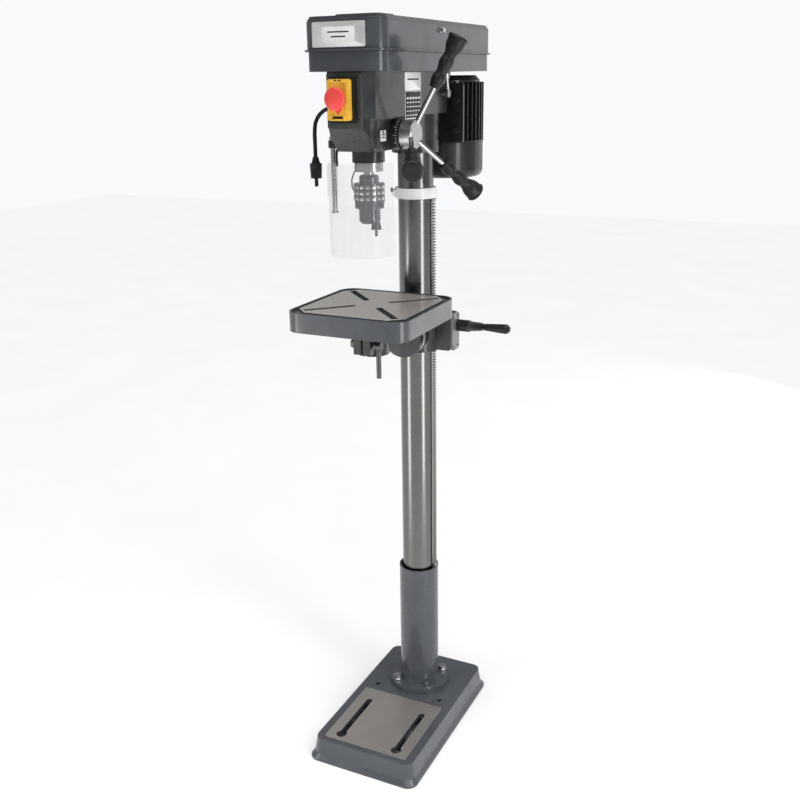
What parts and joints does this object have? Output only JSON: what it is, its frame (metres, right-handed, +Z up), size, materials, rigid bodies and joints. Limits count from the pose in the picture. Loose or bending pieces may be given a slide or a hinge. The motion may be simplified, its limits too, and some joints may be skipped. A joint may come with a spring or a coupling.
{
  "type": "drill press",
  "caption": "Floor-standing belt-drive drill press with a rack-raised tilting table, keyed chuck, lever feed, chuck guard and covered step pulleys.",
  "frame": {"origin": "on the floor, at the column axis", "axes": "+Z up along the column; +Y towards the motor, so the operator stands on the -Y side; +X is the operator's right"},
  "size_m": [0.3294, 0.6041, 1.604],
  "materials": {
    "cast_grey": "satin slate-grey enamel on cast iron",
    "sheet_grey": "satin slate-grey enamel on sheet steel",
    "machined_iron": "ground cast iron",
    "bright_steel": "turned and ground steel",
    "dark_steel": "blackened steel",
    "chrome": "chrome plate",
    "aluminium": "die-cast aluminium",
    "light_grey": "light grey cast ring",
    "bronze": "bronze",
    "black_plastic": "ribbed black plastic",
    "yellow_plastic": "yellow moulded plastic",
    "red_plastic": "red moulded plastic",
    "green_plastic": "green moulded plastic",
    "clear_plastic": "clear polycarbonate",
    "black_rubber": "black rubber",
    "panel_grey": "grey steel panel"
  },
  "bodies": {
    "frame": {"base": "cast_grey", "column_support": "cast_grey", "flange_bolts": "bright_steel", "column": "bright_steel", "rack_collar": "light_grey", "set_screws": "dark_steel", "head": "cast_grey", "cover_tray": "sheet_grey", "lid_hinge": "bright_steel", "switch_plate": "panel_grey", "switch_body": "black_plastic", "spring_housing": "dark_steel", "return_spring": "dark_steel", "pulley_bearings": "bright_steel", "belt_front": "black_rubber", "belt_rear": "black_rubber", "cord_gland": "black_rubber", "power_cord": "black_rubber", "plug": "black_rubber", "key_wire": "dark_steel"},
    "rack_ring": {"rack": "bright_steel"},
    "lift_bracket": {"bracket": "cast_grey", "gear_cover": "light_grey", "tilt_bolt": "dark_steel"},
    "crank_arm": {"crank": "dark_steel", "worm": "bright_steel"},
    "crank_handle": {"crank_grip": "black_plastic"},
    "gear_wheel": {"lift_gear": "bronze"},
    "column_clamp": {"bracket_clamp": "dark_steel"},
    "tilting_arm": {"table_arm": "cast_grey"},
    "work_table": {"table": "machined_iron"},
    "table_clamp": {"table_lock": "dark_steel"},
    "lid": {"belt_cover": "sheet_grey"},
    "motor": {"motor_housing": "sheet_grey", "fan_cover": "sheet_grey", "motor_mount": "sheet_grey"},
    "rotor": {"motor_rotor": "bright_steel", "motor_pulley": "aluminium"},
    "idler_lever": {"idler_arm": "dark_steel"},
    "idler": {"idler_pulley": "aluminium"},
    "top_pulley": {"spindle_pulley": "aluminium"},
    "quill_tube": {"quill": "bright_steel"},
    "spindle_shaft": {"spindle": "bright_steel", "chuck_body": "bright_steel"},
    "chuck_ring": {"chuck_sleeve": "bright_steel"},
    "jaw_a": {"jaw_1": "dark_steel"},
    "jaw_b": {"jaw_2": "dark_steel"},
    "jaw_c": {"jaw_3": "dark_steel"},
    "feed_levers": {"feed_hub": "aluminium", "feed_rods": "chrome", "feed_grips": "black_plastic", "feed_shaft": "bright_steel"},
    "dial": {"depth_ring": "black_plastic"},
    "guard_post": {"guard_rod": "bright_steel"},
    "guard": {"guard_shield": "clear_plastic"},
    "key": {"chuck_key": "dark_steel"},
    "flap": {"switch_flap": "yellow_plastic"},
    "stop": {"stop_button": "red_plastic"},
    "start": {"start_button": "green_plastic"},
    "motor_clamp": {"motor_lock": "bright_steel"}
  },
  "joints": [
    {"name": "table_swing", "type": "hinge", "parent": "frame", "child": "rack_ring", "pos_m": [0, 0, 0.9], "axis": [0, 0, 1], "continuous": true},
    {"name": "table_lift", "type": "slide", "parent": "rack_ring", "child": "lift_bracket", "axis": [0, 0, 1], "range_m": [-0.52, 0.04]},
    {"name": "crank_turn", "type": "hinge", "parent": "lift_bracket", "child": "crank_arm", "pos_m": [0.1, 0.012, 0.974], "axis": [1, 0, 0], "range_deg": [-49657.34, 3820.72]},
    {"name": "crank_handle_spin", "type": "hinge", "parent": "crank_arm", "child": "crank_handle", "pos_m": [0.15, 0.09254, 0.95392], "axis": [1, 0, 0], "continuous": true},
    {"name": "lift_gear_turn", "type": "hinge", "parent": "lift_bracket", "child": "gear_wheel", "pos_m": [0.0549, 0, 0.951], "axis": [0, 1, 0], "range_deg": [-191.99, 2483.82]},
    {"name": "column_clamp_turn", "type": "hinge", "parent": "lift_bracket", "child": "column_clamp", "pos_m": [-0.03, 0.062, 0.962], "axis": [1, 0, 0], "range_deg": [-40, 40]},
    {"name": "table_tilt", "type": "hinge", "parent": "lift_bracket", "child": "tilting_arm", "pos_m": [0, -0.067, 0.958], "axis": [0, 1, 0], "range_deg": [-45, 45]},
    {"name": "table_turn", "type": "hinge", "parent": "tilting_arm", "child": "work_table", "pos_m": [0, -0.213, 1], "axis": [0, 0, 1], "continuous": true},
    {"name": "table_lock_turn", "type": "hinge", "parent": "tilting_arm", "child": "table_clamp", "pos_m": [0.02, -0.252, 0.985], "axis": [1, 0, 0], "range_deg": [-40, 15]},
    {"name": "lid_open", "type": "hinge", "parent": "frame", "child": "lid", "pos_m": [-0.0885, -0.04, 1.544], "axis": [0, -1, 0], "range_deg": [0, 100]},
    {"name": "motor_slide", "type": "slide", "parent": "frame", "child": "motor", "axis": [0, 1, 0], "range_m": [-0.012, 0.004], "deforming": ["belt_rear"]},
    {"name": "motor_lock_turn", "type": "hinge", "parent": "frame", "child": "motor_clamp", "pos_m": [0.055, 0.035, 1.462], "axis": [1, 0, 0], "range_deg": [-40, 40]},
    {"name": "rotor_spin", "type": "hinge", "parent": "motor", "child": "rotor", "pos_m": [0, 0.166, 1.42], "axis": [0, 0, 1], "continuous": true},
    {"name": "idler_swing", "type": "hinge", "parent": "frame", "child": "idler_lever", "pos_m": [0, 0.005, 1.51], "axis": [0, 0, 1], "range_deg": [-6, 6], "deforming": ["belt_front", "belt_rear"]},
    {"name": "idler_spin", "type": "hinge", "parent": "idler_lever", "child": "idler", "pos_m": [0, -0.03, 1.55], "axis": [0, 0, 1], "continuous": true},
    {"name": "top_pulley_spin", "type": "hinge", "parent": "frame", "child": "top_pulley", "pos_m": [0, -0.215, 1.55], "axis": [0, 0, 1], "continuous": true},
    {"name": "quill_feed", "type": "slide", "parent": "frame", "child": "quill_tube", "axis": [0, 0, -1], "range_m": [0, 0.08], "stiffness_N_per_m": 400, "springref_m": -0.2},
    {"name": "spindle_spin", "type": "hinge", "parent": "quill_tube", "child": "spindle_shaft", "pos_m": [0, -0.215, 1.4], "axis": [0, 0, 1], "continuous": true},
    {"name": "chuck_key_turn", "type": "hinge", "parent": "spindle_shaft", "child": "chuck_ring", "pos_m": [0, -0.215, 1.28], "axis": [0, 0, 1], "range_deg": [0, 1440]},
    {"name": "jaw_a_slide", "type": "slide", "parent": "spindle_shaft", "child": "jaw_a", "axis": [-0.2095, -0.121, -0.9703], "range_m": [-0.0002, 0.0302]},
    {"name": "jaw_b_slide", "type": "slide", "parent": "spindle_shaft", "child": "jaw_b", "axis": [0.2095, -0.121, -0.9703], "range_m": [-0.0002, 0.0302]},
    {"name": "jaw_c_slide", "type": "slide", "parent": "spindle_shaft", "child": "jaw_c", "axis": [0, 0.2419, -0.9703], "range_m": [-0.0002, 0.0302]},
    {"name": "feed_turn", "type": "hinge", "parent": "frame", "child": "feed_levers", "pos_m": [0, -0.175, 1.39], "axis": [1, 0, 0], "range_deg": [0, 327.9], "deforming": ["return_spring"]},
    {"name": "depth_dial_turn", "type": "hinge", "parent": "feed_levers", "child": "dial", "pos_m": [0.048, -0.175, 1.39], "axis": [1, 0, 0], "range_deg": [-170, 170]},
    {"name": "guard_swing", "type": "hinge", "parent": "frame", "child": "guard_post", "pos_m": [-0.072, -0.225, 1.3], "axis": [0, 0, -1], "range_deg": [0, 100]},
    {"name": "guard_height", "type": "slide", "parent": "guard_post", "child": "guard", "axis": [0, 0, 1], "range_m": [-0.03, 0.022]},
    {"name": "chuck_key_lift", "type": "slide", "parent": "frame", "child": "key", "axis": [0, 0, 1], "range_m": [0, 0.02]},
    {"name": "flap_open", "type": "hinge", "parent": "frame", "child": "flap", "pos_m": [0, -0.3165, 1.493], "axis": [-1, 0, 0], "range_deg": [0, 85]},
    {"name": "stop_press", "type": "slide", "parent": "flap", "child": "stop", "axis": [0, 1, 0], "range_m": [0, 0.004], "stiffness_N_per_m": 600, "springref_m": -0.002},
    {"name": "start_press", "type": "slide", "parent": "frame", "child": "start", "axis": [0, 1, 0], "range_m": [0, 0.003], "stiffness_N_per_m": 600, "springref_m": -0.002}
  ],
  "couplings": [
    {"joint": "crank_turn", "follows": "table_lift", "rad_per_m": 1666.7},
    {"joint": "lift_gear_turn", "follows": "table_lift", "rad_per_m": -83.333},
    {"joint": "feed_turn", "follows": "quill_feed", "rad_per_m": 71.429},
    {"joint": "top_pulley_spin", "follows": "spindle_spin", "ratio": 1},
    {"joint": "idler_spin", "follows": "spindle_spin", "ratio": 1.325},
    {"joint": "rotor_spin", "follows": "spindle_spin", "ratio": 1.8929},
    {"joint": "jaw_a_slide", "follows": "chuck_key_turn", "m_per_rad": 0.0011937},
    {"joint": "jaw_b_slide", "follows": "chuck_key_turn", "m_per_rad": 0.0011937},
    {"joint": "jaw_c_slide", "follows": "chuck_key_turn", "m_per_rad": 0.0011937}
  ]
}
